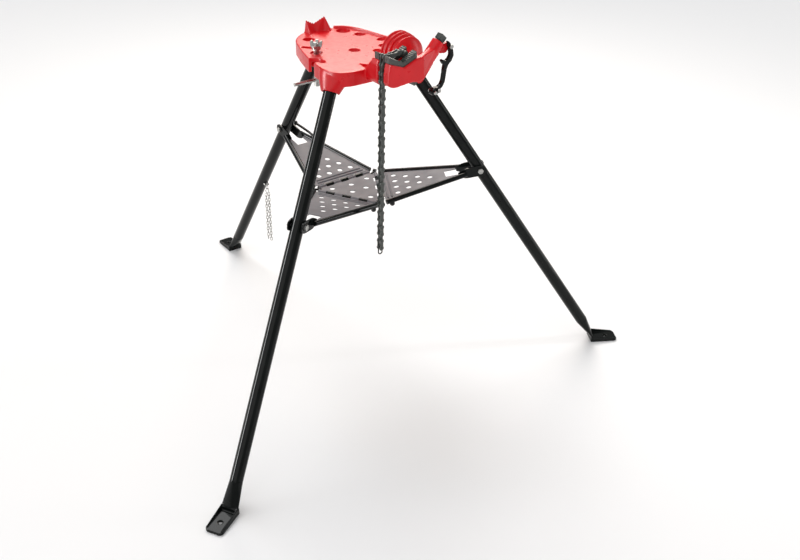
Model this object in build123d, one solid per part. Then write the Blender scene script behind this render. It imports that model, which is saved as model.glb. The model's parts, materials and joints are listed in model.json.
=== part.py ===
from build123d import *
import os
from math import atan2, cos, hypot, radians, sin, tan

# Portable tripod chain vise stand. Millimetres, +Z up.
# The origin is the bottom centre of the whole stand's box. The pipe lies along +X,
# with the vise at the +X end and the plain pipe rest at the -X end.
# Most pieces are drawn about the tripod's own axis and shifted once, when exported.

# ---- driving dimensions: stand -------------------------------------------------
DECK_TOP = 869.0
DECK_THICK = 10.0
SKIRT_BOTTOM = 835.0
WALL = 8.0
HIP_HEIGHT = 838.0
HIP_RADIUS_FRONT = 129.0
HIP_RADIUS_REAR = 155.0
LEG_TILT = 34.0
LEG_OD = 31.0
LEG_WALL = 2.5
PIN_D = 10.0
FIT = 0.05                    # radial running clearance at every pin
FOOT_THICK = 7.0
FOOT_WIDTH = 45.0
FOOT_REACH = 66.0
FOOT_HOLE_D = 11.0
TOE_ROUND = 9.0

# ---- driving dimensions: tray --------------------------------------------------
TRAY_Z = 515.0
FOLD_RADIUS = 57.0            # tripod axis to each fold line
SHEET = 2.0
TRAY_HOLE_R = 7.0
RIM_D = 13.0
TRAY_BOLT_Z = 560.0           # height of the bolt where a wing meets its leg
EAR_GAP = 32.6                # the ears straddle a leg tube
EAR_THICK = 3.0
NOTCH_DEPTH = 90.0            # open space left round the leg when the tray folds
RIM_START = 10.0              # the rim tubes run from here, out from the fold line,
RIM_STOP = 38.0               # to here, in from the bolt

# ---- driving dimensions: vise --------------------------------------------------
GAP_X = 160.0                 # centre of the chain gap between the two jaws
GAP = 20.0
GAP_END = 58.0                # the gap is open from -Y up to here
JAW_DEEP = 16.0
SEAT_LINE = [(-43, 904), (-2, 889), (34, 903.5)]     # y, z of the V that the jaws stand in
JAW_LINE = [(-43, 920), (-2, 899), (34, 919)]        # y, z of the V that the pipe lies in
BARREL_TOP = Vector(GAP_X, 118, 920)
BARREL_ANGLE = 48.0           # above horizontal, leaning towards +Y
BARREL_D = 30.0
SCREW_D = 14.0
PITCH = 19.4                  # vise chain
LINK_HEIGHT = 12.6
PLATE = 2.0
CHAIN_PIN_D = 5.0
LEVER_X = 172.0
LEVER_PIVOT = (142.0, 908.0)  # y, z

ON_BASE = (Align.CENTER, Align.CENTER, Align.MIN)

LEGS = {                      # azimuth and hip radius
    "left": (-60.0, HIP_RADIUS_FRONT),
    "right": (60.0, HIP_RADIUS_FRONT),
    "rear": (180.0, HIP_RADIUS_REAR),
}

tilt = radians(LEG_TILT)
foot_drop = (HIP_HEIGHT - FOOT_THICK / 2) * tan(tilt)
front_reach = ((HIP_RADIUS_FRONT + foot_drop + FOOT_REACH - TOE_ROUND) * cos(radians(60))
               + (FOOT_WIDTH / 2 - TOE_ROUND) * sin(radians(60)) + TOE_ROUND)
rear_reach = HIP_RADIUS_REAR + foot_drop + FOOT_REACH
AXIS_X = (rear_reach - front_reach) / 2

os.makedirs("parts", exist_ok=True)


def save(name, *shapes):
    """Write one node: its solids, shifted from the tripod axis to the stand's frame."""
    solids = []
    for shape in shapes:
        solids += shape.solids()
    moved = [Pos(AXIS_X, 0, 0) * s for s in solids]
    for s in moved:
        s.color = None
    export_step(Compound(children=moved) if len(moved) > 1 else moved[0], f"parts/{name}.step")


def bar(start, end, diameter):
    """A round bar between two points."""
    a, b = Vector(*start), Vector(*end)
    length = (b - a).length
    plane = Plane(origin=a, z_dir=(b - a).normalized())
    return plane * Cylinder(diameter / 2, length, align=ON_BASE)


def soft(points):
    """A closed outline with rounded corners. A point's third number is how far its rounding
    reaches along the shorter side beside it: 0 is sharp and 0.5, the default, is fully round."""
    corners = [(Vector(p[0], p[1]), p[2] if len(p) > 2 else 0.5) for p in points]
    edges = []
    first = last = None
    for i, (at, share) in enumerate(corners):
        before, after = corners[i - 1][0] - at, corners[(i + 1) % len(corners)][0] - at
        reach = share * min(before.length, after.length)
        enter, leave = at + before.normalized() * reach, at + after.normalized() * reach
        if last is None:
            first = enter
        elif (enter - last).length > 0.001:
            edges.append(Line(last, enter))
        else:
            enter = last
        if share:
            edges.append(Bezier(enter, at, leave))
        last = leave
    if (first - last).length > 0.001:
        edges.append(Line(last, first))
    return make_face(Wire(edges))


def polyhedron(points, faces):
    """A solid from its corner points and its faces, each a list of point numbers."""
    sides = [Face(Wire.make_polygon([points[i] for i in face], close=True)) for face in faces]
    return Solid(Shell(sides))


def slab(points, x_from, x_to):
    """A (y, z) outline extruded along X."""
    face = soft(points)
    plane = Plane(origin=(x_from, 0, 0), x_dir=(0, 1, 0), z_dir=(1, 0, 0))
    return plane * extrude(face, x_to - x_from)


def radial_slab(points, half_width):
    """A (radius, z) outline at azimuth 0, extruded to both sides of the XZ plane."""
    face = soft(points)
    plane = Plane(origin=(0, half_width, 0), x_dir=(1, 0, 0), z_dir=(0, -1, 0))
    return plane * extrude(face, 2 * half_width)


def prism(points, z_from, z_to):
    """An (x, y) outline extruded upwards."""
    return Pos(0, 0, z_from) * extrude(soft(points), z_to - z_from)


def along_leg(hip_radius, s, side=0.0):
    """The point s below the hip on a leg's axis at azimuth 0, side out from the axis."""
    return (hip_radius + s * sin(tilt) + side * cos(tilt), 0, HIP_HEIGHT - s * cos(tilt) + side * sin(tilt))


# ---- base casting ----------------------------------------------------------------
DECK_OUTLINE = [
    (-205, -14), (-193, -38), (-165, -68), (-90, -97), (-34, -113), (8, -121), (40, -125), (69, -124),
    (92, -112), (104, -84), (104, 100), (96, 126), (80, 140), (40, 142), (0, 138), (-40, 134), (-78, 127),
    (-126, 117), (-154, 109), (-180, 96), (-197, 66), (-205, 30),
]
ROUND_HOLES = [               # x, y, radius
    (-23, 11, 13), (-163, 74, 17), (-117, 93, 13), (12, 57, 13), (-12, 90, 12), (-54, 114, 11),
    (-152, -36, 14),
]
BRACE_AT = (-57.0, -75.0)
PIN_HALF = 24.0               # half a hip pin's length
LEG_TOP = 9.0                 # tube above the hip pin


def leg_boss(hip):
    """The outside of one leg socket, at azimuth 0: it grows out of the skirt and follows the leg."""
    sections = []
    for s, across, deep in ((-34, 37, 23), (-4, 34, 22.5), (10, 28, 22), (23, 22, 21)):
        origin, lower = Vector(*along_leg(hip, s)), Vector(*along_leg(hip, s + 1))
        sections.append(Plane(origin=origin, x_dir=(0, 1, 0), z_dir=lower - origin) * Ellipse(across, deep))
    below_deck = Pos(hip, 0, DECK_TOP - 4 - 60) * Box(200, 200, 120)
    return loft(sections) & below_deck


def leg_pocket(hip):
    """The space inside a socket for the tube and its swing, open inwards and below."""
    bore = LEG_OD + 2.0
    top = HIP_HEIGHT + 18
    inner = [(hip + (HIP_HEIGHT - 790) * tan(tilt), 790, 0), (hip, HIP_HEIGHT, 0), (hip - 2, top, 0),
             (hip - 70, top, 0), (hip - 70, 790, 0)]
    pocket = radial_slab(inner, bore / 2) + bar(along_leg(hip, -LEG_TOP - 1), along_leg(hip, 60), bore)
    for fold in (9, 18, 27):
        up = radians(LEG_TILT - fold)
        pin = Vector(hip, 0, HIP_HEIGHT)
        along = Vector(-sin(up), 0, cos(up))
        pocket += bar(pin - along * 4, pin + along * (LEG_TOP + 1), bore)
    return pocket


def bender_dome():
    """The ribbed tube-bending dome: four rims and three round grooves, stepping down."""
    radii = [50, 49.5, 48, 45]
    step = 13.4
    rim = 3.4
    x = 38.0
    line = [(x, 0), (x, radii[0])]
    edges = [Line(line[0], line[1])]
    for i, r in enumerate(radii):
        edges.append(Line((x, r), (x + rim, r)))
        x += rim
        if i + 1 < len(radii):
            nxt = (x + step - rim, radii[i + 1])
            middle = (x + (step - rim) / 2, min(r, radii[i + 1]) - 4.5)
            edges.append(ThreePointArc((x, r), middle, nxt))
            x += step - rim
    edges.append(ThreePointArc((x, radii[-1]), (x + 8, radii[-1] * 0.72), (x + 12, 0)))
    edges.append(Line((x + 12, 0), (38, 0)))
    solid = revolve(make_face(Wire(edges)), Axis.X, 360)
    upper = solid & (Pos(60, 0, 40) * Box(160, 130, 100))
    return Pos(0, 92, DECK_TOP) * upper


def pipe_rest():
    """The V rest at the rear: two pointed horns with sloping sides, on the deck's edge."""
    low = DECK_TOP - 7
    back, valley, notch = -205, 12, (-203, 12, 889)
    left = polyhedron(
        [(back, -17, low), (-168, -17, low), (-190, valley, low), (back, valley, low), (-197, -15, 903),
         notch],
        [(0, 3, 2, 1), (0, 1, 4), (1, 2, 4), (2, 5, 4), (2, 3, 5), (3, 0, 4), (3, 4, 5)])
    right = polyhedron(
        [(back, valley, low), (-190, valley, low), (-186, 30, low), (-170, 46, low), (-184, 57, low),
         (back, 40, low), (-196, 39, 905), notch],
        [(0, 5, 4, 3, 2, 1), (0, 1, 7), (1, 2, 6), (1, 6, 7), (2, 3, 6), (3, 4, 6), (4, 5, 6), (5, 0, 6),
         (0, 7, 6)])
    return left + right


def arm_shoulder():
    """The arm's outer length: from the front of the arm back to the screw barrel."""
    return polyhedron(
        [(170, 44, 846), (191, 44, 846), (191, 46, 904), (176, 46, 904),
         (160, 114, 893), (174, 111, 895), (174, 97, 908), (160, 93, 912)],
        [(0, 1, 2, 3), (7, 6, 5), (7, 5, 4), (0, 4, 5), (0, 5, 1), (1, 5, 6), (1, 6, 2), (2, 6, 7), (2, 7, 3),
         (3, 7, 4), (3, 4, 0)])


def base_casting():
    deck = prism(DECK_OUTLINE, SKIRT_BOTTOM, DECK_TOP)
    inside = offset(make_face(Polyline(*DECK_OUTLINE, close=True)), -WALL)
    body = deck - Pos(0, 0, SKIRT_BOTTOM) * extrude(inside, DECK_TOP - DECK_THICK - SKIRT_BOTTOM)

    # raised lip along the +Y edge
    lip = [(-191, 64), (-177, 88), (-154, 102), (-126, 110), (-78, 120), (-40, 127), (-40, 133), (-78, 126),
           (-126, 116), (-154, 108), (-180, 95), (-197, 66)]
    body += prism(lip, DECK_TOP - 2, DECK_TOP + 6)

    # vise block under the rear jaw, front saddle, and the root that joins them
    seat = [(y, z, 0) for y, z in SEAT_LINE]
    back_face, front_face = GAP_X - GAP / 2, GAP_X + GAP / 2
    block = [(-28, 838), (-47, 848), (-48, 893, 0.2), *seat, (41, 898), (50, 878), (62, 872),
             (62, SKIRT_BOTTOM, 0.1)]
    ramp = [(100, 830, 0), (100, 868, 0.1), (124, 896, 0.2), (134, 920, 0), (back_face, 920, 0),
            (back_face, 830, 0)]
    body += slab(block, 100, back_face) & radial_slab(ramp, 80)
    arm = [(-30, 846), (-46, 853), (-45, 884), (-41, 903, 0.1), *seat[1:], (47, 904.5, 0.1), (54, 902, 0.1),
           (58, 854, 0.1), (40, 846), (23, 851), (-8, 848)]
    body += slab(arm, front_face, front_face + 21)
    body += arm_shoulder()
    root = [(50, 835), (50, 866), (66, 876), (84, 886), (100, 880), (76, 848), (64, 835)]
    body += slab(root, 118, front_face + 2)

    # screw barrel with its lever lug
    axis = Vector(0, cos(radians(BARREL_ANGLE)), sin(radians(BARREL_ANGLE)))
    body += bar(BARREL_TOP - axis * 66, BARREL_TOP, BARREL_D)
    py, pz = LEVER_PIVOT
    lug = [(112, 904, 0), (112, 894, 0), (136, 890), (py + 3, pz - 9), (py + 8, pz), (py + 3, pz + 7),
           (py - 6, pz + 7), (128, 912)]
    body += slab(lug, GAP_X - 4, LEVER_X - 5)
    body += slab([(128, 906, 0.1), (128, 894, 0.1), (136, 892, 0.1), (136, 908, 0.1)], GAP_X - 8, LEVER_X - 5)

    body += bender_dome()
    body += pipe_rest()

    # threaded boss for the brace screw
    bx, by = BRACE_AT
    body += Pos(bx, by, SKIRT_BOTTOM + 3) * Cylinder(16, 26, align=ON_BASE)

    for azimuth, hip in LEGS.values():
        body += Rot(0, 0, azimuth) * leg_boss(hip)
    for azimuth, hip in LEGS.values():
        body -= Rot(0, 0, azimuth) * leg_pocket(hip)
        pin_bore = Rot(90, 0, 0) * Cylinder(PIN_D / 2, 2 * PIN_HALF)
        body -= Rot(0, 0, azimuth) * Pos(hip, 0, HIP_HEIGHT) * pin_bore

    # holes and slots through the deck
    for x, y, r in ROUND_HOLES:
        body -= Pos(x, y, DECK_TOP) * Cylinder(r, 30)
    body -= Pos(-102, -73, DECK_TOP) * Rot(0, 0, 40) * Box(26, 13, 60)
    hook_slot = [(-34, -135, 0.1), (-31, -104), (-20, -90), (4, -90), (15, -98), (10, -106), (2, -105),
                 (-1, -112), (2, -135, 0.1)]
    body -= prism(hook_slot, SKIRT_BOTTOM - 5, DECK_TOP + 5)
    notch = [(59, -35, 0.05), (93, -13, 0.1), (97, -13, 0.1), (118, -30, 0.1), (118, -44, 0.1),
             (104, -41, 0.1)]
    body -= prism(notch, DECK_TOP - 8, DECK_TOP + 30)

    # bores: chain screw, brace screw, lever pin, jaw screws
    body -= bar(BARREL_TOP - axis * 120, BARREL_TOP + axis, SCREW_D + 2 * FIT)
    body -= Pos(bx, by, DECK_TOP) * Cylinder(6.5 + FIT, 100)
    body -= Pos(bx, by, DECK_TOP) * Cylinder(14, 10)
    body -= bar((GAP_X - 12, py, pz), (LEVER_X + 12, py, pz), 6.0)
    for x in (GAP_X - GAP / 2 - JAW_DEEP / 2 - 0.5, GAP_X + GAP / 2 + JAW_DEEP / 2 + 0.5):
        for y in (-18, 18):
            body -= Pos(x, y, 870) * Cylinder(3.0, 80)
            body -= Pos(x, y, 800) * Cylinder(6.0, 75, align=ON_BASE)
    # the chain gap, open all the way down and out to -Y, with room for the clevis to rise
    body -= Pos(GAP_X, (GAP_END - 60) / 2, 870) * Box(GAP, GAP_END + 60, 120)
    body -= Pos(GAP_X, GAP_END, 840) * Box(GAP, 22, 54)
    return body


casting = base_casting()
save("base_casting", casting)


# ---- legs ------------------------------------------------------------------------
LEG_FLAT_FROM = 930.0         # where the tube starts to flatten, below the hip
LEG_FLAT_TO = 996.0


def leg_tube(hip):
    top = Vector(*along_leg(hip, -LEG_TOP))
    end = Vector(*along_leg(hip, LEG_FLAT_FROM))
    tube = bar(top, end, LEG_OD)
    tube -= bar(top - Vector(0, 0, 1), end + Vector(0, 0, 1), LEG_OD - 2 * LEG_WALL)
    tube -= Pos(hip, 0, HIP_HEIGHT) * Rot(90, 0, 0) * Cylinder(PIN_D / 2 + FIT, 80)
    return tube


def leg_foot(hip):
    """The tube's lower end: flattened, then bent level into a plate with a bolt hole."""
    axis = (Vector(*along_leg(hip, 1)) - Vector(*along_leg(hip, 0))).normalized()
    start = Plane(origin=Vector(*along_leg(hip, LEG_FLAT_FROM)), x_dir=(0, 1, 0), z_dir=axis)
    end = Plane(origin=Vector(*along_leg(hip, LEG_FLAT_TO)), x_dir=(0, 1, 0), z_dir=axis)
    round_end = start * Ellipse(LEG_OD / 2, LEG_OD / 2 - 0.01)
    body = loft([round_end, end * Ellipse(FOOT_WIDTH / 2, FOOT_THICK / 2 + 1)])
    bend = hip + foot_drop
    toe = Pos(bend + FOOT_REACH / 2 - 3, 0, FOOT_THICK / 2) * Box(FOOT_REACH + 6, FOOT_WIDTH, FOOT_THICK)
    toe = fillet(toe.edges().filter_by(Axis.Z).group_by(Axis.X)[-1], TOE_ROUND)
    heel = Pos(bend - 7, 0, 8) * Box(10, FOOT_WIDTH, 16)
    body += toe + heel
    body -= Pos(bend + 34, 0, 0) * Cylinder(FOOT_HOLE_D / 2, 60)
    return body


for name, (azimuth, hip) in LEGS.items():
    save(f"leg_{name}_tube", Rot(0, 0, azimuth) * leg_tube(hip))
    save(f"leg_{name}_foot", Rot(0, 0, azimuth) * leg_foot(hip))

hip_pins = []
for azimuth, hip in LEGS.values():
    at = Rot(0, 0, azimuth) * Pos(hip, 0, HIP_HEIGHT) * Rot(90, 0, 0)
    hip_pins.append(at * Cylinder(PIN_D / 2, 2 * PIN_HALF))
save("leg_hip_pins", *hip_pins)


# ---- tray ------------------------------------------------------------------------
BASE_HALF = FOLD_RADIUS * tan(radians(60)) - 7      # half a fold line, less its end room
TIP_HALF = EAR_GAP / 2 + EAR_THICK


def tray_bolt(hip):
    """Radius and height of the bolt on a leg's axis."""
    return hip + (HIP_HEIGHT - TRAY_BOLT_Z) * tan(tilt), TRAY_BOLT_Z


def wing_plane(hip):
    """The wing's own plane: origin on its fold line, x out along the slope."""
    radius, height = tray_bolt(hip)
    slope = atan2(height - TRAY_Z, radius - FOLD_RADIUS)
    length = hypot(radius - FOLD_RADIUS, height - TRAY_Z)
    out, normal = (cos(slope), 0, sin(slope)), (-sin(slope), 0, cos(slope))
    return Plane(origin=(FOLD_RADIUS, 0, TRAY_Z), x_dir=out, z_dir=normal), length


def wing_edge(length, x):
    """Half width of a wing at distance x from its fold line."""
    tip = length - RIM_STOP
    return BASE_HALF + (TIP_HALF + 4.5 - BASE_HALF) * x / tip


def wing_sheet(hip):
    plane, length = wing_plane(hip)
    start, end = 9.0, length - RIM_STOP - 21
    outline = [(start, -wing_edge(length, start) + 7), (end, -wing_edge(length, end) + 7),
               (end, wing_edge(length, end) - 7), (start, wing_edge(length, start) - 7)]
    sheet = Pos(0, 0, -SHEET / 2) * extrude(make_face(Polyline(*outline, close=True)), SHEET)
    sheet -= Pos(length, 0, 0) * Box(2 * NOTCH_DEPTH, EAR_GAP, 20)
    for i, count in enumerate((4, 3, 2, 1)):
        x = 44 + 30 * i
        for k in range(count):
            sheet -= Pos(x, (k - (count - 1) / 2) * 33, 0) * Cylinder(TRAY_HOLE_R, 12)
    # two pressed ribs beside the fold
    for x in (17, 27):
        rib = Pos(x, 0, SHEET / 2) * Rot(90, 0, 0) * Cylinder(2.4, 2 * wing_edge(length, x) - 34)
        sheet += rib
    return plane * sheet


def wing_frame(hip):
    """Two rim tubes on the wing's edges, and the ears that straddle the leg."""
    plane, length = wing_plane(hip)
    end = length - RIM_STOP
    pieces = None
    for side in (-1, 1):
        a = Vector(RIM_START, side * wing_edge(length, RIM_START), 0)
        b = Vector(end, side * wing_edge(length, end), 0)
        ear_y = side * (EAR_GAP / 2 + EAR_THICK / 2)
        profile = soft([(end - 20, -5, 0.1), (end - 3, -14), (length + 4, -14), (length + 16, -9),
                        (length + 16, 9), (length + 4, 15), (end - 3, 13), (end - 20, 5, 0.1)])
        ear = Pos(0, ear_y + EAR_THICK / 2, 0) * Rot(90, 0, 0) * extrude(profile, EAR_THICK)
        ear -= Pos(length, ear_y, 0) * Rot(90, 0, 0) * Cylinder(4.0, 20)
        piece = bar(a, b, RIM_D) + ear
        pieces = piece if pieces is None else pieces + piece
    pieces -= Pos(length, 0, 0) * Box(2 * NOTCH_DEPTH, EAR_GAP, 60)
    return plane * pieces


def wing_bolts(hip):
    """Bolt stubs through the ears, which stop just short of the tube wall."""
    plane, length = wing_plane(hip)
    bolts = []
    for side in (-1, 1):
        inner, outer = LEG_OD / 2 + 0.5, EAR_GAP / 2 + EAR_THICK
        middle = side * (inner + outer + 2) / 2
        shank = Pos(length, middle, 0) * Rot(90, 0, 0) * Cylinder(4.0, outer + 2 - inner)
        hexagon = extrude(RegularPolygon(7.5, 6), 2.6, both=True)
        head = Pos(length, side * (outer + 2.6), 0) * Rot(90, 0, 0) * hexagon
        bolts.append(plane * (shank + head))
    return bolts


def wing_stops(hip):
    """Rubber stops under the rims, near the corners of the middle panel."""
    plane, length = wing_plane(hip)
    stops = []
    for side in (-1, 1):
        y = side * wing_edge(length, 24)
        rim = bar((4, side * wing_edge(length, 4), 0), (90, side * wing_edge(length, 90), 0), RIM_D)
        stops.append(plane * (Pos(24, y, -RIM_D / 2 - 2) * Sphere(6.5) - rim))
    return stops


HINGE_ROD_D = 6.0


def fold_spans(first):
    """Knuckle spans along a fold line: the middle panel has every other one."""
    count = 7
    width = 2 * (BASE_HALF - 12) / count
    for i in range(count):
        if (i % 2 == 0) == first:
            y = -(BASE_HALF - 12) + width * (i + 0.5)
            yield y, width - 1.0


def middle_panel():
    radius = 2 * FOLD_RADIUS
    corners = [(radius * cos(radians(a)), radius * sin(radians(a))) for a in (0, 120, 240)]
    triangle = offset(make_face(Polyline(*corners, close=True)), -9)
    sheet = Pos(0, 0, TRAY_Z - SHEET / 2) * extrude(triangle, SHEET)
    for radius, start, count in ((24, 60, 3), (62, 0, 3)):
        for k in range(count):
            a = radians(start + 360 / count * k)
            sheet -= Pos(radius * cos(a), radius * sin(a), TRAY_Z) * Cylinder(TRAY_HOLE_R, 12)
    for azimuth, _ in LEGS.values():
        for y, width in fold_spans(True):
            web = Pos(FOLD_RADIUS - 6.5, y, TRAY_Z) * Box(9, width, SHEET)
            knuckle = Pos(FOLD_RADIUS, y, TRAY_Z) * Rot(90, 0, 0) * Cylinder(5, width)
            sheet += Rot(0, 0, azimuth) * (web + knuckle)
    for azimuth, _ in LEGS.values():
        rod = Pos(FOLD_RADIUS, 0, TRAY_Z) * Rot(90, 0, 0) * Cylinder(HINGE_ROD_D / 2, 2 * BASE_HALF)
        sheet -= Rot(0, 0, azimuth) * rod
    return sheet


def wing_knuckles(hip):
    plane, _ = wing_plane(hip)
    pieces = []
    for y, width in fold_spans(False):
        knuckle = Pos(0, y, 0) * Rot(90, 0, 0) * Cylinder(5, width)
        leaf = Pos(5.5, y, 0) * Box(7, width, SHEET)
        pieces.append(plane * (knuckle + leaf - Rot(90, 0, 0) * Cylinder(HINGE_ROD_D / 2 + FIT, 400)))
    return pieces


for name, (azimuth, hip) in LEGS.items():
    turn = Rot(0, 0, azimuth)
    save(f"tray_{name}_wing_sheet", turn * wing_sheet(hip))
    save(f"tray_{name}_wing_frame", turn * wing_frame(hip))
    save(f"tray_{name}_wing_knuckles", *[turn * k for k in wing_knuckles(hip)])
    save(f"tray_{name}_wing_bolts", *[turn * b for b in wing_bolts(hip)])
    save(f"tray_{name}_wing_stops", *[turn * b for b in wing_stops(hip)])

save("tray_middle_panel", middle_panel())
rods, caps = [], []
for azimuth, _ in LEGS.values():
    rod = Pos(FOLD_RADIUS, 0, TRAY_Z) * Rot(90, 0, 0) * Cylinder(HINGE_ROD_D / 2, 2 * (BASE_HALF - 11))
    rods.append(Rot(0, 0, azimuth) * rod)
    cap = bar((90, 0, TRAY_Z), (112, 0, TRAY_Z), 6) + Pos(112, 0, TRAY_Z) * Rot(90, 0, 0) * Cylinder(6, 7)
    panel_slot = Pos(80, 0, TRAY_Z) * Box(40, 20, SHEET)
    caps.append(Rot(0, 0, azimuth + 60) * (cap - panel_slot))
save("tray_hinge_rods", *rods)
save("tray_corner_caps", *caps)


# ---- jaws ------------------------------------------------------------------------
def jaw(x_from):
    """One toothed V jaw: teeth run along the pipe."""
    under, top = SEAT_LINE, JAW_LINE
    teeth = 8
    for end, sign in ((top[0], 1), (top[2], -1)):
        steps = []
        for i in range(teeth):
            for part, depth in ((i / teeth, 0.0), ((i + 0.35) / teeth, 1.6)):
                y = end[0] + (top[1][0] - end[0]) * part
                z = end[1] + (top[1][1] - end[1]) * part
                steps.append((y, z - depth))
        if sign > 0:
            line = steps
        else:
            line = line + [(top[1][0], top[1][1] - 0.4)] + steps[::-1]
    outline = line + [(under[2][0] + 2, under[2][1] + 1), under[2], under[1], under[0]]
    return slab([(y, z, 0) for y, z in outline], x_from, x_from + JAW_DEEP)


REAR_JAW_X = GAP_X - GAP / 2 - JAW_DEEP - 0.5
FRONT_JAW_X = GAP_X + GAP / 2 + 0.5
jaw_screw_xs = (REAR_JAW_X + JAW_DEEP / 2, FRONT_JAW_X + JAW_DEEP / 2)
jaw_screws = []
for x in jaw_screw_xs:
    for y in (-18, 18):
        head, shank = Cylinder(5.5, 6, align=ON_BASE), Pos(0, 0, 6) * Cylinder(3.0, 26, align=ON_BASE)
        jaw_screws.append(Pos(x, y, 869) * (head + shank))
for name, x_from in (("jaw_rear", REAR_JAW_X), ("jaw_front", FRONT_JAW_X)):
    plate = jaw(x_from)
    for screw in jaw_screws:
        plate -= screw
    save(name, plate)
save("jaw_screws", *jaw_screws)


# ---- chain screw -------------------------------------------------------------------
screw_axis = Vector(0, cos(radians(BARREL_ANGLE)), sin(radians(BARREL_ANGLE)))
SCREW_DOWN = 100.0            # barrel top to the screw's lower end
head_plane = Plane(origin=BARREL_TOP, x_dir=(1, 0, 0), z_dir=screw_axis)
screw = bar(BARREL_TOP - screw_axis * SCREW_DOWN, BARREL_TOP + screw_axis * 2, SCREW_D)
screw += head_plane * Pos(0, 0, 2) * Cylinder(11, 2, align=ON_BASE)
screw += head_plane * Pos(0, 0, 4) * Box(17, 17, 13, align=ON_BASE)
save("chain_screw", screw)

clevis_plane = Plane(origin=BARREL_TOP - screw_axis * (SCREW_DOWN + 0.2), x_dir=(1, 0, 0), z_dir=-screw_axis)
CLEVIS_PIN = 10.0             # below the top of the clevis
clevis = Box(17, 14, 16, align=ON_BASE)
clevis = fillet(clevis.edges().filter_by(Axis.X).group_by(Axis.Z)[-1], 5)
clevis -= Pos(0, 0, 3) * Box(8.6, 30, 40, align=ON_BASE)
clevis -= Pos(0, 0, CLEVIS_PIN) * Rot(0, 90, 0) * Cylinder(CHAIN_PIN_D / 2, 30)
save("chain_clevis", clevis_plane * clevis)

# ---- vise chain ----------------------------------------------------------------------
INNER_X = 3.0                 # plate centres, out from the chain's middle
OUTER_X = 5.5
PIN_LEN = 15.2


def link(a, b, kind):
    """The two plates of one link between two (y, z) pin centres."""
    start, end = Vector(GAP_X, *a), Vector(GAP_X, *b)
    span = (end - start).length
    along = (end - start).normalized()
    plane = Plane(origin=start, x_dir=along, z_dir=(1, 0, 0))
    shape = Pos(span / 2, 0) * Rectangle(span, LINK_HEIGHT * 0.72) + Circle(LINK_HEIGHT / 2)
    shape += Pos(span, 0) * Circle(LINK_HEIGHT / 2)
    hole = CHAIN_PIN_D / 2 + (FIT if kind == "inner" else 0)
    shape -= Circle(hole) + Pos(span, 0) * Circle(hole)
    out = INNER_X if kind == "inner" else OUTER_X
    plates = []
    for side in (-1, 1):
        plates.append(plane * Pos(0, 0, side * out - PLATE / 2) * extrude(shape, PLATE))
    return plates


def chain_pin(point, length=PIN_LEN):
    y, z = point
    return Pos(GAP_X, y, z) * Rot(0, 90, 0) * Cylinder(CHAIN_PIN_D / 2, length)


def chain_ring(length, width, wire):
    """One oval link of round wire, upright, centred on the origin, in the XZ plane."""
    radius = width / 2
    run = length / 2 - radius
    path = Wire([
        Line((-radius, 0, -run), (-radius, 0, run)),
        ThreePointArc((-radius, 0, run), (0, 0, run + radius), (radius, 0, run)),
        Line((radius, 0, run), (radius, 0, -run)),
        ThreePointArc((radius, 0, -run), (0, 0, -run - radius), (-radius, 0, -run)),
    ])
    return sweep(Plane(origin=(-radius, 0, -run), z_dir=(0, 0, 1)) * Circle(wire), path=path)


ANCHOR_LINKS = 4              # these move with the chain screw
TAIL_LINKS = (6, 6, 6, 5)
TURNS = (125, 105, 100, 105, 165, 190, 178, 262, 268)     # heading of each link, in degrees


def chain_points():
    """Pin centres (y, z) from the clevis, over the jaws and down to the chain's free end."""
    start = BARREL_TOP - screw_axis * (SCREW_DOWN + 0.2 + CLEVIS_PIN)
    y, z = start.Y, start.Z
    points = [(y, z)]
    for heading in TURNS + (270,) * sum(TAIL_LINKS):
        y += PITCH * cos(radians(heading))
        z += PITCH * sin(radians(heading))
        points.append((y, z))
    return points


def chain_run(points, first, last):
    """Links first to last, and the pins that their outer plates hold."""
    pieces = []
    for i in range(first, last):
        kind = "inner" if i % 2 == 0 else "outer"
        pieces += link(points[i], points[i + 1], kind)
        if kind == "outer":
            pieces += [chain_pin(points[i]), chain_pin(points[i + 1])]
    return pieces


CHAIN = chain_points()
anchor = chain_run(CHAIN, 0, ANCHOR_LINKS)[:-1]     # its last pin is cut to two short ends
for side in (-1, 1):
    y, z = CHAIN[ANCHOR_LINKS]
    anchor.append(Pos(GAP_X + side * (OUTER_X + 0.4), y, z) * Rot(0, 90, 0) * Cylinder(CHAIN_PIN_D / 2, 2.8))
save("chain_anchor_run", *anchor)
save("clevis_pin", chain_pin(CHAIN[0], 17.0))
save("chain_over_jaws", *chain_run(CHAIN, ANCHOR_LINKS, len(TURNS)))
at = len(TURNS)
for number, count in enumerate(TAIL_LINKS, start=1):
    save(f"chain_tail_{number}", *chain_run(CHAIN, at, at + count))
    at += count
y, z = CHAIN[at]
END_WIRE = 1.5
end_drop = 11 - END_WIRE - CHAIN_PIN_D / 2 - 0.1
ring = Pos(GAP_X, y, z - end_drop) * chain_ring(22, 11, END_WIRE).rotate(Axis.Z, 90)
save("chain_end_ring", ring)


# ---- swing lever -------------------------------------------------------------------
def tapered(nodes, thickness, x_middle):
    """A flat forging: rounded, tapering lengths between (y, z, half width) nodes."""
    shape = None
    for (y0, z0, r0), (y1, z1, r1) in zip(nodes, nodes[1:]):
        length = hypot(y1 - y0, z1 - z0)
        ny, nz = -(z1 - z0) / length, (y1 - y0) / length
        quad = make_face(Polyline((y0 + ny * r0, z0 + nz * r0), (y1 + ny * r1, z1 + nz * r1),
                                  (y1 - ny * r1, z1 - nz * r1), (y0 - ny * r0, z0 - nz * r0), close=True))
        piece = quad + Pos(y0, z0) * Circle(r0) + Pos(y1, z1) * Circle(r1)
        shape = piece if shape is None else shape + piece
    plane = Plane(origin=(x_middle - thickness / 2, 0, 0), x_dir=(0, 1, 0), z_dir=(1, 0, 0))
    return plane * extrude(shape, thickness)


LEVER_THICK = 9.0
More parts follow.
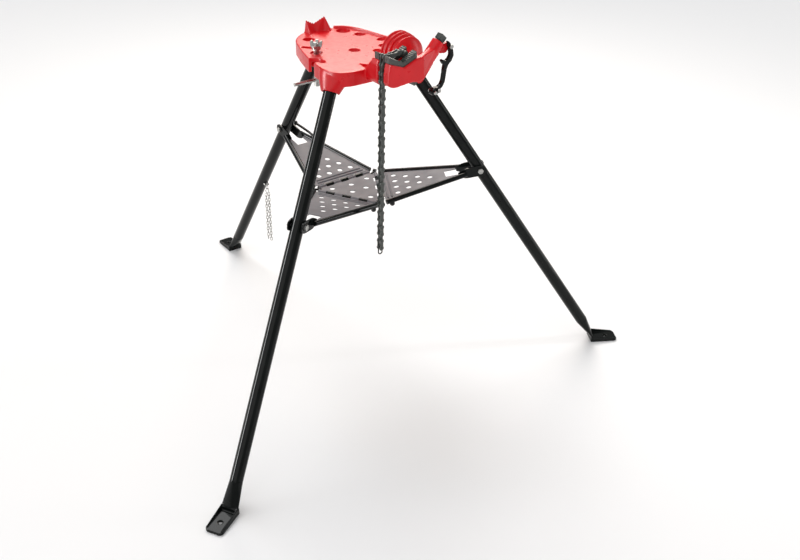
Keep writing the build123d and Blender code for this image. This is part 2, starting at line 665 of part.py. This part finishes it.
# nodes of the lever's outline: y, z, half width
LEVER_TINE = [
    (135, 920, 1.6), (138, 914, 3.2), (142, 906, 4.4), (145, 896, 5.0), (146, 886, 5.6), (141, 877, 6.0),
    (132, 870, 6.4),
]
LEVER_CLAW = [(132, 870, 6.4), (124, 873, 4.6), (119, 878, 3.0)]
LEVER_SHANK = [
    (132, 870, 6.4), (128, 858, 5.2), (126, 840, 4.8), (124, 828, 4.8), (119, 819, 4.6), (110, 813, 5.0),
    (101, 808, 9.0),
]
LEVER_BOLTS = [(96.5, 807.0), (107.5, 810.0)]
lever = tapered(LEVER_TINE, LEVER_THICK, LEVER_X + 1.0) + tapered(LEVER_CLAW, LEVER_THICK, LEVER_X + 1.0)
lever += tapered(LEVER_SHANK, LEVER_THICK, LEVER_X + 1.0)
lever += tapered([(96.5, 807, 7.5), (107.5, 810, 7.5)], LEVER_THICK + 5, LEVER_X + 1.0)
py, pz = LEVER_PIVOT
lever -= bar((LEVER_X - 20, py, pz), (LEVER_X + 20, py, pz), 6 + 2 * FIT)
bolts = []
for y, z in LEVER_BOLTS:
    shank = bar((LEVER_X - 12, y, z), (LEVER_X + 12, y, z), 5.0)
    head = Pos(LEVER_X + 10.2, y, z) * Rot(0, 90, 0) * extrude(RegularPolygon(4.6, 6), 3.2)
    nut = Pos(LEVER_X - 8.2 - 3.2, y, z) * Rot(0, 90, 0) * extrude(RegularPolygon(4.6, 6), 3.2)
    lever -= shank
    bolts.append(shank + head + nut)
save("swing_lever", lever)
save("lever_bolts", *bolts)
pin = bar((GAP_X - 8, py, pz), (LEVER_X + 8, py, pz), 6.0)
pin += bar((LEVER_X + 6.5, py, pz), (LEVER_X + 9, py, pz), 10)
save("lever_pin", pin)


# ---- brace screw -------------------------------------------------------------------
BRACE_D = 13.0
TEE_D = 8.5
bx, by = BRACE_AT
CROWN_Z = 877.0
ROD_Z = 787.0
rod = Pos(bx, by, ROD_Z) * Cylinder(BRACE_D / 2, CROWN_Z - 0.3 - ROD_Z, align=ON_BASE)
rod += Pos(bx, by, CROWN_Z - 0.3) * Cylinder(4.0, 10, align=ON_BASE)
rod -= bar((bx, by - 20, 802), (bx, by + 20, 802), TEE_D)
save("brace_screw", rod)
save("brace_tee_bar", bar((bx, by - 64, 802), (bx, by + 20, 802), TEE_D))
crown = Pos(bx, by, CROWN_Z) * Cylinder(10.5, 9, align=ON_BASE)
for turn in (45, 135):
    fin = [(-14, 8), (-9, 1), (9, 1), (14, 8), (15, 19), (10, 21), (4, 13), (-4, 13), (-10, 21), (-15, 19)]
    crown += Pos(bx, by, CROWN_Z) * Rot(0, 0, turn) * radial_slab(fin, 3.5)
crown -= Pos(bx, by, CROWN_Z - 1) * Cylinder(4.0 + FIT, 12, align=ON_BASE)
save("brace_crown", crown)


# ---- tray latch and lock chain on the rear leg ---------------------------------------
rear_azimuth, rear_hip = LEGS["rear"]
rear_plane, rear_length = wing_plane(rear_hip)
latch_y = -(TIP_HALF + 8.5)
latch_nodes = [(rear_length - 4, 12), (rear_length - 30, 13), (rear_length - 62, 13), (rear_length - 78, 11)]
latch = None
for (x0, z0), (x1, z1) in zip(latch_nodes, latch_nodes[1:]):
    y0, y1 = latch_y - 0.12 * (rear_length - x0), latch_y - 0.12 * (rear_length - x1)
    piece = bar((x0, y0, z0), (x1, y1, z1), 7) + Pos(x1, y1, z1) * Sphere(3.5)
    latch = piece if latch is None else latch + piece
latch += Pos(rear_length - 4, latch_y - 0.5, 12) * Rot(90, 0, 0) * Cylinder(6.5, 7)
latch -= Pos(rear_length - 4, latch_y, 12) * Rot(90, 0, 0) * Cylinder(3 + FIT, 30)
latch_pin = Pos(rear_length - 4, -(TIP_HALF + 6.5), 12) * Rot(90, 0, 0) * Cylinder(3, 13)
save("tray_latch", Rot(0, 0, rear_azimuth) * (rear_plane * latch))
save("tray_latch_pin", Rot(0, 0, rear_azimuth) * (rear_plane * latch_pin))

LOCK_WIRE = 1.0
LOCK_PITCH = 9.6
EYE_S = 592.0
EYE_OUT = 6.5                 # the eye's bar, out from the tube wall
eye_at = Vector(*along_leg(rear_hip, EYE_S, -LEG_OD / 2 - EYE_OUT))
EYE_HALF = 6.0
tube_gap = bar(Vector(*along_leg(rear_hip, EYE_S - 30)), Vector(*along_leg(rear_hip, EYE_S + 30)), LEG_OD)
eye = bar((eye_at.X, -EYE_HALF, eye_at.Z), (eye_at.X, EYE_HALF, eye_at.Z), 3.0)
for side in (-1, 1):
    wire_end = Vector(*along_leg(rear_hip, EYE_S, -LEG_OD / 2 + 3)) + Vector(0, side * EYE_HALF, 0)
    eye += bar((eye_at.X, side * EYE_HALF, eye_at.Z), wire_end, 3.0)
    eye += Pos(eye_at.X, side * EYE_HALF, eye_at.Z) * Sphere(1.5)
save("lock_chain_eye", Rot(0, 0, rear_azimuth) * (eye - tube_gap))

oval = chain_ring(LOCK_PITCH + 2.2, 6.0, LOCK_WIRE)
RING_WIRE = LOCK_WIRE + 0.2
hook_ring = Pos(eye_at.X, 0, eye_at.Z - 8 + RING_WIRE + 1.55) * chain_ring(16, 9, RING_WIRE)
split_ring = Pos(eye_at.X, 0, eye_at.Z - 19) * chain_ring(15, 9.6, RING_WIRE).rotate(Axis.Z, 90)
strand = [hook_ring, split_ring]
for side, count in ((-1, 17), (1, 16)):
    for i in range(count):
        link_at = Pos(eye_at.X, side * 4.8, eye_at.Z - 31 - LOCK_PITCH * i)
        strand.append(link_at * oval.rotate(Axis.Z, 45 + 90 * (i % 2)))
save("lock_chain", *[Rot(0, 0, rear_azimuth) * piece for piece in strand])
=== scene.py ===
import json
import math

import bmesh
import bpy
from mathutils import Matrix, Vector


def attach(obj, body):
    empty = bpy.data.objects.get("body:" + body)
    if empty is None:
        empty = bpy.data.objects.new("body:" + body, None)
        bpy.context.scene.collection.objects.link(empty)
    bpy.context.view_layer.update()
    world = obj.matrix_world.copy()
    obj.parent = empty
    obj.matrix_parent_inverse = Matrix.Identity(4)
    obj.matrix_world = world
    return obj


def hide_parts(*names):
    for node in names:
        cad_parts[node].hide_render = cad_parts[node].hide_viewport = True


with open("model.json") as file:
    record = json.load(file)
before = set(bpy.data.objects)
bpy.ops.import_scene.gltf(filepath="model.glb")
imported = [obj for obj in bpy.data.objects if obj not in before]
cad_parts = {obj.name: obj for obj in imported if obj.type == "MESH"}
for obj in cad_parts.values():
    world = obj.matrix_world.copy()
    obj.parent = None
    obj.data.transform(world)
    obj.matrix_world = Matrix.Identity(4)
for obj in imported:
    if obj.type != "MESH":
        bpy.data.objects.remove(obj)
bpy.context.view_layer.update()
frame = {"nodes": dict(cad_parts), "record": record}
NODES = frame["nodes"]
MM = 0.001
for imported in list(bpy.data.materials):
    bpy.data.materials.remove(imported)


# ---- camera ------------------------------------------------------------------
LENS_MM = 43.08
SENSOR_MM = 36.0
CLIP_NEAR, CLIP_FAR = 0.05, 60.0
CAMERA_AT = Vector((2.00812, -1.26577, 1.60723))
CAMERA_RIGHT = Vector((0.60445, 0.79637, 0.02089))
CAMERA_UP = Vector((-0.42987, 0.30397, 0.85018))


def make_camera():
    data = bpy.data.cameras.new("camera")
    data.lens = LENS_MM
    data.sensor_width = SENSOR_MM
    data.clip_start = CLIP_NEAR
    data.clip_end = CLIP_FAR
    camera = bpy.data.objects.new("camera", data)
    bpy.context.scene.collection.objects.link(camera)
    back = CAMERA_RIGHT.cross(CAMERA_UP).normalized()
    up = back.cross(CAMERA_RIGHT).normalized()
    place = Matrix((CAMERA_RIGHT.normalized(), up, back)).transposed().to_4x4()
    place.translation = CAMERA_AT
    camera.matrix_world = place
    bpy.context.scene.camera = camera


make_camera()


# ---- light and floor ----------------------------------------------------------
WHITE = (1.0, 1.0, 1.0)
WARM = (1.0, 0.90, 0.80)
WORLD_STRENGTH = 0.36
FLOOR_COLOUR = (0.86, 0.86, 0.865, 1.0)
FLOOR_ROUGHNESS = 0.9
FLOOR_REACH = 14.0

# name, position, strength, angular size in degrees; each shines at the origin
SKY_LIGHTS = (
    ("sky_left", (-0.55, 0.10, 0.80), 1.45, 34),
    ("sky_front", (0.35, -0.75, 0.80), 1.0, 70),
)


def add_light(name, kind, at, aim, energy):
    data = bpy.data.lights.new(name, kind)
    data.energy = energy
    light = bpy.data.objects.new(name, data)
    light.location = at
    light.rotation_mode = "QUATERNION"
    light.rotation_quaternion = (Vector(aim) - Vector(at)).to_track_quat("-Z", "Y")
    bpy.context.scene.collection.objects.link(light)
    return light


def add_area_light(name, at, aim, width, height, power, colour=WHITE):
    light = add_light(name, "AREA", at, aim, power)
    light.data.shape = "RECTANGLE"
    light.data.size = width
    light.data.size_y = height
    light.data.color = colour
    return light


def add_gloss_strip(name, at, aim, along, width, height, power):
    """A long light, lying along a leg, that only shows as a highlight."""
    light = add_area_light(name, at, aim, width, height, power)
    back = (Vector(at) - Vector(aim)).normalized()
    side = Vector(along).cross(back).normalized()
    up = back.cross(side)
    light.rotation_quaternion = Matrix((side, up, back)).transposed().to_quaternion()
    light.visible_diffuse = False


def make_floor():
    r = FLOOR_REACH
    mesh = bpy.data.meshes.new("floor")
    mesh.from_pydata([(-r, -r, 0), (r, -r, 0), (r, r, 0), (-r, r, 0)], [], [(0, 1, 2, 3)])
    floor = bpy.data.objects.new("floor", mesh)
    bpy.context.scene.collection.objects.link(floor)
    material = bpy.data.materials.new("floor")
    material.use_nodes = True
    bsdf = material.node_tree.nodes["Principled BSDF"]
    bsdf.inputs["Base Color"].default_value = FLOOR_COLOUR
    bsdf.inputs["Roughness"].default_value = FLOOR_ROUGHNESS
    mesh.materials.append(material)


def make_studio():
    bpy.context.scene.view_settings.view_transform = "Standard"
    world = bpy.data.worlds.new("studio")
    world.use_nodes = True
    background = world.node_tree.nodes["Background"]
    background.inputs["Color"].default_value = WHITE + (1.0,)
    background.inputs["Strength"].default_value = WORLD_STRENGTH
    bpy.context.scene.world = world
    for name, at, strength, angle in SKY_LIGHTS:
        sun = add_light(name, "SUN", at, (0.0, 0.0, 0.0), strength)
        sun.data.angle = math.radians(angle)
    add_area_light("softbox", (-1.7, 1.45, 2.35), (0.1, 0.0, 0.86), 1.2, 1.0, 38.0, WARM)
    add_gloss_strip("left_strip", (-0.50, -1.95, 1.00), (0.42, -0.39, 0.43),
                    (-0.28, 0.50, 0.82), 0.40, 2.1, 70.0)
    add_area_light("right_strip", (1.5, 2.3, 1.0), (0.1, 0.2, 0.5), 0.16, 1.7, 10.0)
    make_floor()


make_studio()


# ---- materials ----------------------------------------------------------------
class Graph:
    """A material's node graph, with short names for the nodes it is made of."""

    def __init__(self, name):
        self.material = bpy.data.materials.new(name)
        self.material.use_nodes = True
        self.tree = self.material.node_tree
        self.bsdf = self.tree.nodes["Principled BSDF"]
        self.where = self.tree.nodes.new("ShaderNodeTexCoord").outputs["Object"]

    def link(self, source, target):
        self.tree.links.new(source, target)

    def noise(self, scale, detail=3.0):
        made = self.tree.nodes.new("ShaderNodeTexNoise")
        made.inputs["Scale"].default_value = scale
        made.inputs["Detail"].default_value = detail
        made.inputs["Roughness"].default_value = 0.55
        self.link(self.where, made.inputs["Vector"])
        return made.outputs["Fac"]

    def ramp(self, value, low, dark, high, light):
        """One colour up to the value low, another from the value high on."""
        made = self.tree.nodes.new("ShaderNodeValToRGB")
        first, last = made.color_ramp.elements
        first.position, first.color = low, dark + (1.0,)
        last.position, last.color = high, light + (1.0,)
        self.link(value, made.inputs["Fac"])
        return made.outputs["Color"]

    def edges(self, low, high):
        """White on the outer edges, black elsewhere."""
        geometry = self.tree.nodes.new("ShaderNodeNewGeometry")
        return self.ramp(geometry.outputs["Pointiness"], low, (0.0,) * 3, high, WHITE)

    def painted_highlight(self, mask, base, highlight_colour):
        """The base colour, with a lighter colour painted on where the mask is white, as a
        painted highlight.
        """
        made = self.tree.nodes.new("ShaderNodeMix")
        made.data_type = "RGBA"
        factor, a, b = made.inputs[0], made.inputs[6], made.inputs[7]
        self.link(mask, factor)
        self.link(base, a)
        b.default_value = highlight_colour + (1.0,)
        return made.outputs[2]

    def colour(self, source):
        self.link(source, self.bsdf.inputs["Base Color"])

    def roughness(self, scale, low, high):
        """Gloss that varies between two values in patches."""
        patches = self.ramp(self.noise(scale), 0.3, (low,) * 3, 0.7, (high,) * 3)
        self.link(patches, self.bsdf.inputs["Roughness"])

    def bump(self, scale, detail, strength, distance):
        made = self.tree.nodes.new("ShaderNodeBump")
        made.inputs["Strength"].default_value = strength
        made.inputs["Distance"].default_value = distance
        self.link(self.noise(scale, detail), made.inputs["Height"])
        self.link(made.outputs["Normal"], self.bsdf.inputs["Normal"])

    def set(self, socket, value):
        self.bsdf.inputs[socket].default_value = value


def red_enamel():
    g = Graph("red_enamel")
    base = g.ramp(g.noise(14.0), 0.3, (0.64, 0.003, 0.008), 0.7, (0.76, 0.005, 0.012))
    # brighter red on the outer edges: a painted highlight along the rounded edges
    g.colour(g.painted_highlight(g.edges(0.53, 0.62), base, (0.84, 0.03, 0.04)))
    g.roughness(60.0, 0.26, 0.40)
    g.bump(320.0, 4.0, 0.16, 0.0004)
    g.set("Specular IOR Level", 0.30)
    g.set("Coat Weight", 0.06)
    g.set("Coat Roughness", 0.2)
    return g.material


def black_enamel():
    g = Graph("black_enamel")
    g.colour(g.ramp(g.noise(25.0), 0.3, (0.0035, 0.0045, 0.0042), 0.7, (0.007, 0.0085, 0.008)))
    g.roughness(45.0, 0.06, 0.11)
    g.bump(260.0, 4.0, 0.04, 0.0002)
    g.set("Specular IOR Level", 0.16)
    return g.material


def grey_sheet():
    g = Graph("grey_sheet")
    g.colour(g.ramp(g.noise(9.0, 5.0), 0.3, (0.150, 0.148, 0.160), 0.7, (0.205, 0.202, 0.215)))
    g.roughness(40.0, 0.50, 0.64)
    g.bump(180.0, 4.0, 0.2, 0.0005)
    g.set("Specular IOR Level", 0.4)
    return g.material


def black_oxide():
    g = Graph("black_oxide")
    dark = g.ramp(g.noise(70.0, 5.0), 0.35, (0.003, 0.0035, 0.003), 0.7, (0.009, 0.011, 0.009))
    # grey on the outer edges: a painted highlight along the edges
    g.colour(g.painted_highlight(g.edges(0.55, 0.66), dark, (0.10, 0.11, 0.10)))
    g.roughness(90.0, 0.22, 0.42)
    g.bump(300.0, 5.0, 0.25, 0.0005)
    g.set("Specular IOR Level", 0.45)
    return g.material


def bright_zinc():
    g = Graph("bright_zinc")
    g.colour(g.ramp(g.noise(60.0, 4.0), 0.3, (0.28, 0.28, 0.27), 0.7, (0.50, 0.50, 0.48)))
    g.roughness(120.0, 0.20, 0.38)
    g.bump(350.0, 4.0, 0.2, 0.0004)
    g.set("Metallic", 0.9)
    return g.material


def black_rubber():
    g = Graph("black_rubber")
    g.colour(g.ramp(g.noise(80.0), 0.3, (0.008,) * 3, 0.7, (0.016,) * 3))
    g.roughness(120.0, 0.5, 0.7)
    g.bump(400.0, 3.0, 0.3, 0.0004)
    return g.material


MAKERS = (red_enamel, black_enamel, grey_sheet, black_oxide, bright_zinc, black_rubber)
MATERIALS = {make.__name__: make() for make in MAKERS}
SLOT_OF = {part["node"]: part["material_slot"] for part in frame["record"]["subparts"]}


def dress(obj, slot_name):
    obj.data.materials.clear()
    obj.data.materials.append(MATERIALS[slot_name])


# ---- machined and forged pieces, with their sharp edges broken --------------------
BEVEL_WIDTHS = {
    "jaw_rear": 0.4 * MM,
    "jaw_front": 0.4 * MM,
    "chain_clevis": 0.6 * MM,
    "chain_screw": 0.6 * MM,
}
BEVEL_SEGMENTS = 3
BEVEL_FROM_DEGREES = 35

for name, obj in NODES.items():
    dress(obj, SLOT_OF[name])
    if name in BEVEL_WIDTHS:
        bevel = obj.modifiers.new("bevel", "BEVEL")
        bevel.width = BEVEL_WIDTHS[name]
        bevel.segments = BEVEL_SEGMENTS
        bevel.limit_method = "ANGLE"
        bevel.angle_limit = math.radians(BEVEL_FROM_DEGREES)


# ---- castings and forgings, with their corners softened --------------------------
BODIES = frame["record"]["behaviour"]["bodies"]
BODY_OF = {node: body for body, nodes in BODIES.items() for node in nodes}


def soften(node, name, voxel, rounds, extra=None):
    """A copy of a CAD node with every corner and every inside corner rounded over."""
    cad = NODES[node]
    mesh = cad.data.copy()
    if extra:
        extra(mesh, cad.matrix_world.inverted())
    piece = bpy.data.objects.new(name, mesh)
    piece.matrix_world = cad.matrix_world.copy()
    bpy.context.scene.collection.objects.link(piece)
    dress(piece, SLOT_OF[node])
    remesh = piece.modifiers.new("remesh", "REMESH")
    remesh.mode = "VOXEL"
    remesh.voxel_size = voxel / cad.matrix_world.to_scale()[0]
    remesh.use_smooth_shade = True
    smooth = piece.modifiers.new("smooth", "SMOOTH")
    smooth.factor = 0.5
    smooth.iterations = rounds
    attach(piece, BODY_OF[node])
    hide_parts(node)


# ---- feet: the flattened tube end keeps a turned-up lip along each side ------------
AZIMUTHS = {"left": -60.0, "right": 60.0, "rear": 180.0}
BOLT_AT = {mount["name"]: Vector(mount["pos_m"]) for mount in frame["record"]["mounts"]}

# in millimetres, along the foot from its bolt hole and across from its middle
LIP_BEND, LIP_TOE = -40.0, 26.5
LIP_OUT, LIP_IN, LIP_IN_AT_TOP = 22.0, 17.5, 19.0
LIP_FOOT = 2.0
LIP_TOP_AT_BEND, LIP_TOP_AT_TOE = 19.0, 8.5

# the lip's eight corners are a quad at the bend, then the same quad at the toe
LIP_FACES = ((0, 1, 2, 3), (7, 6, 5, 4), (0, 4, 5, 1), (1, 5, 6, 2), (2, 6, 7, 3), (3, 7, 4, 0))


def lip_section(along, top):
    """The lip cut across the foot: (along, across, height) of its four corners."""
    return [
        (along, LIP_IN, LIP_FOOT),
        (along, LIP_OUT, LIP_FOOT),
        (along, LIP_OUT, top),
        (along, LIP_IN_AT_TOP, top),
    ]


def foot_lips(leg):
    hole = BOLT_AT["floor_bolt_" + leg]
    angle = math.radians(AZIMUTHS[leg])
    out = Vector((math.cos(angle), math.sin(angle), 0.0))
    across = Vector((-out.y, out.x, 0.0))
    corners = lip_section(LIP_BEND, LIP_TOP_AT_BEND) + lip_section(LIP_TOE, LIP_TOP_AT_TOE)

    def add(mesh, to_local):
        bm = bmesh.new()
        bm.from_mesh(mesh)
        for side in (-1, 1):
            verts = []
            for x, y, z in corners:
                place = hole + (out * x + across * (side * y)) * MM
                verts.append(bm.verts.new(to_local @ Vector((place.x, place.y, z * MM))))
            for face in LIP_FACES:
                bm.faces.new([verts[i] for i in face])
        bmesh.ops.recalc_face_normals(bm, faces=bm.faces)
        bm.to_mesh(mesh)
        bm.free()

    return add


soften("base_casting", "casting_body", 1.5 * MM, 5)
soften("swing_lever", "lever_forging", 0.7 * MM, 8)
for leg in AZIMUTHS:
    soften("leg_" + leg + "_foot", "foot_" + leg, 1.1 * MM, 9, foot_lips(leg))
